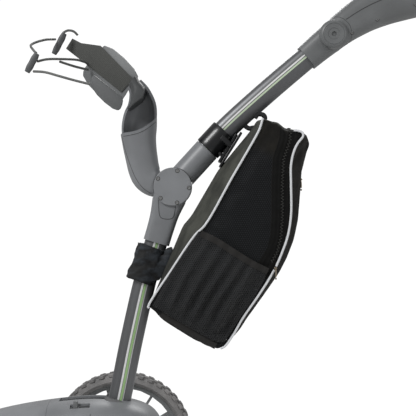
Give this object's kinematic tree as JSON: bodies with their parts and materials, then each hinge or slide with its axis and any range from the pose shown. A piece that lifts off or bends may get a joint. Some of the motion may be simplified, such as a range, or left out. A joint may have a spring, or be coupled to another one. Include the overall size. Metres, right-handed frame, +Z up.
{
  "type": "golf bag on push cart",
  "caption": "Folding three-wheeled golf push cart: sloping mast, arm that holds a golf bag, curved handle, wheels, and a zipped soft accessory bag hung behind the mast.",
  "frame": {"origin": "on the ground, under the middle of the cart's length and width", "axes": "+X towards the handle end, -X towards the front wheel; +Y across the cart, away from the pictured side; +Z up"},
  "size_m": [1.32, 0.629, 1.096],
  "materials": {
    "grey_plastic": "satin",
    "dark_grey_plastic": "satin",
    "black_plastic": "gloss",
    "rubber": "matte",
    "webbing": "matte",
    "bag_fabric": "matte",
    "mesh_fabric": "matte",
    "aluminium": "satin",
    "steel": "satin"
  },
  "bodies": {
    "chassis": {"lower_housing": "dark_grey_plastic", "upper_housing": "grey_plastic", "mast_boot": "grey_plastic", "mast_pin": "steel", "rear_axle": "steel", "near_axle_tube": "dark_grey_plastic", "far_axle_tube": "dark_grey_plastic", "front_fork": "dark_grey_plastic", "front_axle": "steel", "lower_cradle": "dark_grey_plastic", "base_rest": "dark_grey_plastic", "brake_pin": "steel"},
    "bay_lid": {"bay_lid": "grey_plastic"},
    "fold_lock": {"fold_lock_slide": "dark_grey_plastic"},
    "brake": {"brake_pedal": "black_plastic"},
    "rear_near_wheel": {"rear_near_tyre": "rubber", "rear_near_rim": "dark_grey_plastic", "rear_near_hub_cap": "black_plastic"},
    "rear_far_wheel": {"rear_far_tyre": "rubber", "rear_far_rim": "dark_grey_plastic", "rear_far_hub_cap": "black_plastic"},
    "front_wheel": {"front_tyre": "rubber", "front_rim": "dark_grey_plastic"},
    "mast": {"lower_tube": "aluminium", "hub_sleeve": "grey_plastic", "hub_cover_near": "grey_plastic", "hub_cover_far": "grey_plastic", "hub_pin": "steel", "upper_sleeve": "grey_plastic", "upper_tube": "aluminium", "tube_collar": "black_plastic", "bag_hook_plate": "black_plastic", "bag_body": "bag_fabric", "mesh_pocket": "mesh_fabric", "bag_strap": "bag_fabric", "top_loop": "webbing", "handle_socket": "dark_grey_plastic", "handle_pin": "steel", "pivot_cap_near": "dark_grey_plastic", "pivot_cap_far": "dark_grey_plastic"},
    "bag_lid": {"bag_lid": "bag_fabric"},
    "upper_zip_pull": {"upper_zip_pull": "steel"},
    "lower_zip_pull": {"lower_zip_pull": "steel"},
    "bag_bracket": {"bracket_arm": "grey_plastic", "bracket_yoke": "dark_grey_plastic", "far_wing": "dark_grey_plastic", "near_wing": "dark_grey_plastic", "wing_strap": "webbing", "lower_cord": "webbing", "middle_cord": "webbing", "inner_cord": "webbing", "upper_cord": "webbing", "toggle_loop": "webbing", "far_toggle": "dark_grey_plastic", "near_toggle": "dark_grey_plastic"},
    "handle": {"handle_shell": "dark_grey_plastic", "handle_bar": "aluminium", "near_grip": "rubber", "far_grip": "rubber"}
  },
  "joints": [
    {"name": "mast_fold", "type": "hinge", "parent": "chassis", "child": "mast", "pos_m": [-0.026, 0, 0.25], "axis": [0, -1, 0], "range_deg": [0, 65]},
    {"name": "bracket_fold", "type": "hinge", "parent": "mast", "child": "bag_bracket", "pos_m": [0.087, 0, 0.695], "axis": [0, -1, 0], "range_deg": [-35, 0]},
    {"name": "handle_tilt", "type": "hinge", "parent": "mast", "child": "handle", "pos_m": [0.389, 0, 0.98], "axis": [0, -1, 0], "range_deg": [-20, 20]},
    {"name": "rear_near_wheel_spin", "type": "hinge", "parent": "chassis", "child": "rear_near_wheel", "pos_m": [-0.03, -0.28, 0.152], "axis": [0, 1, 0], "continuous": true},
    {"name": "rear_far_wheel_spin", "type": "hinge", "parent": "chassis", "child": "rear_far_wheel", "pos_m": [-0.03, 0.28, 0.152], "axis": [0, 1, 0], "continuous": true},
    {"name": "front_wheel_spin", "type": "hinge", "parent": "chassis", "child": "front_wheel", "pos_m": [-0.55, 0, 0.11], "axis": [0, 1, 0], "continuous": true},
    {"name": "bay_lid_hinge", "type": "hinge", "parent": "chassis", "child": "bay_lid", "pos_m": [-0.286, 0, 0.2585], "axis": [0, 1, 0], "range_deg": [-90, 0]},
    {"name": "fold_lock_travel", "type": "slide", "parent": "chassis", "child": "fold_lock", "axis": [1, 0, 0], "range_m": [0, 0.02]},
    {"name": "brake_pedal_hinge", "type": "hinge", "parent": "chassis", "child": "brake", "pos_m": [0.082, 0, 0.184], "axis": [0, 1, 0], "range_deg": [0, 20], "stiffness_Nm_per_rad": 1, "springref_deg": -5.73},
    {"name": "bag_lid_hinge", "type": "hinge", "parent": "mast", "child": "bag_lid", "pos_m": [0.281, 0, 0.5288], "axis": [0, 1, 0], "range_deg": [0, 100]},
    {"name": "upper_zip_pull_swing", "type": "hinge", "parent": "bag_lid", "child": "upper_zip_pull", "pos_m": [0.3225, -0.034, 0.709], "axis": [0, 1, 0], "range_deg": [-60, 0]},
    {"name": "lower_zip_pull_swing", "type": "hinge", "parent": "mast", "child": "lower_zip_pull", "pos_m": [0.2755, -0.1055, 0.547], "axis": [0, 1, 0], "range_deg": [-60, 0]}
  ]
}
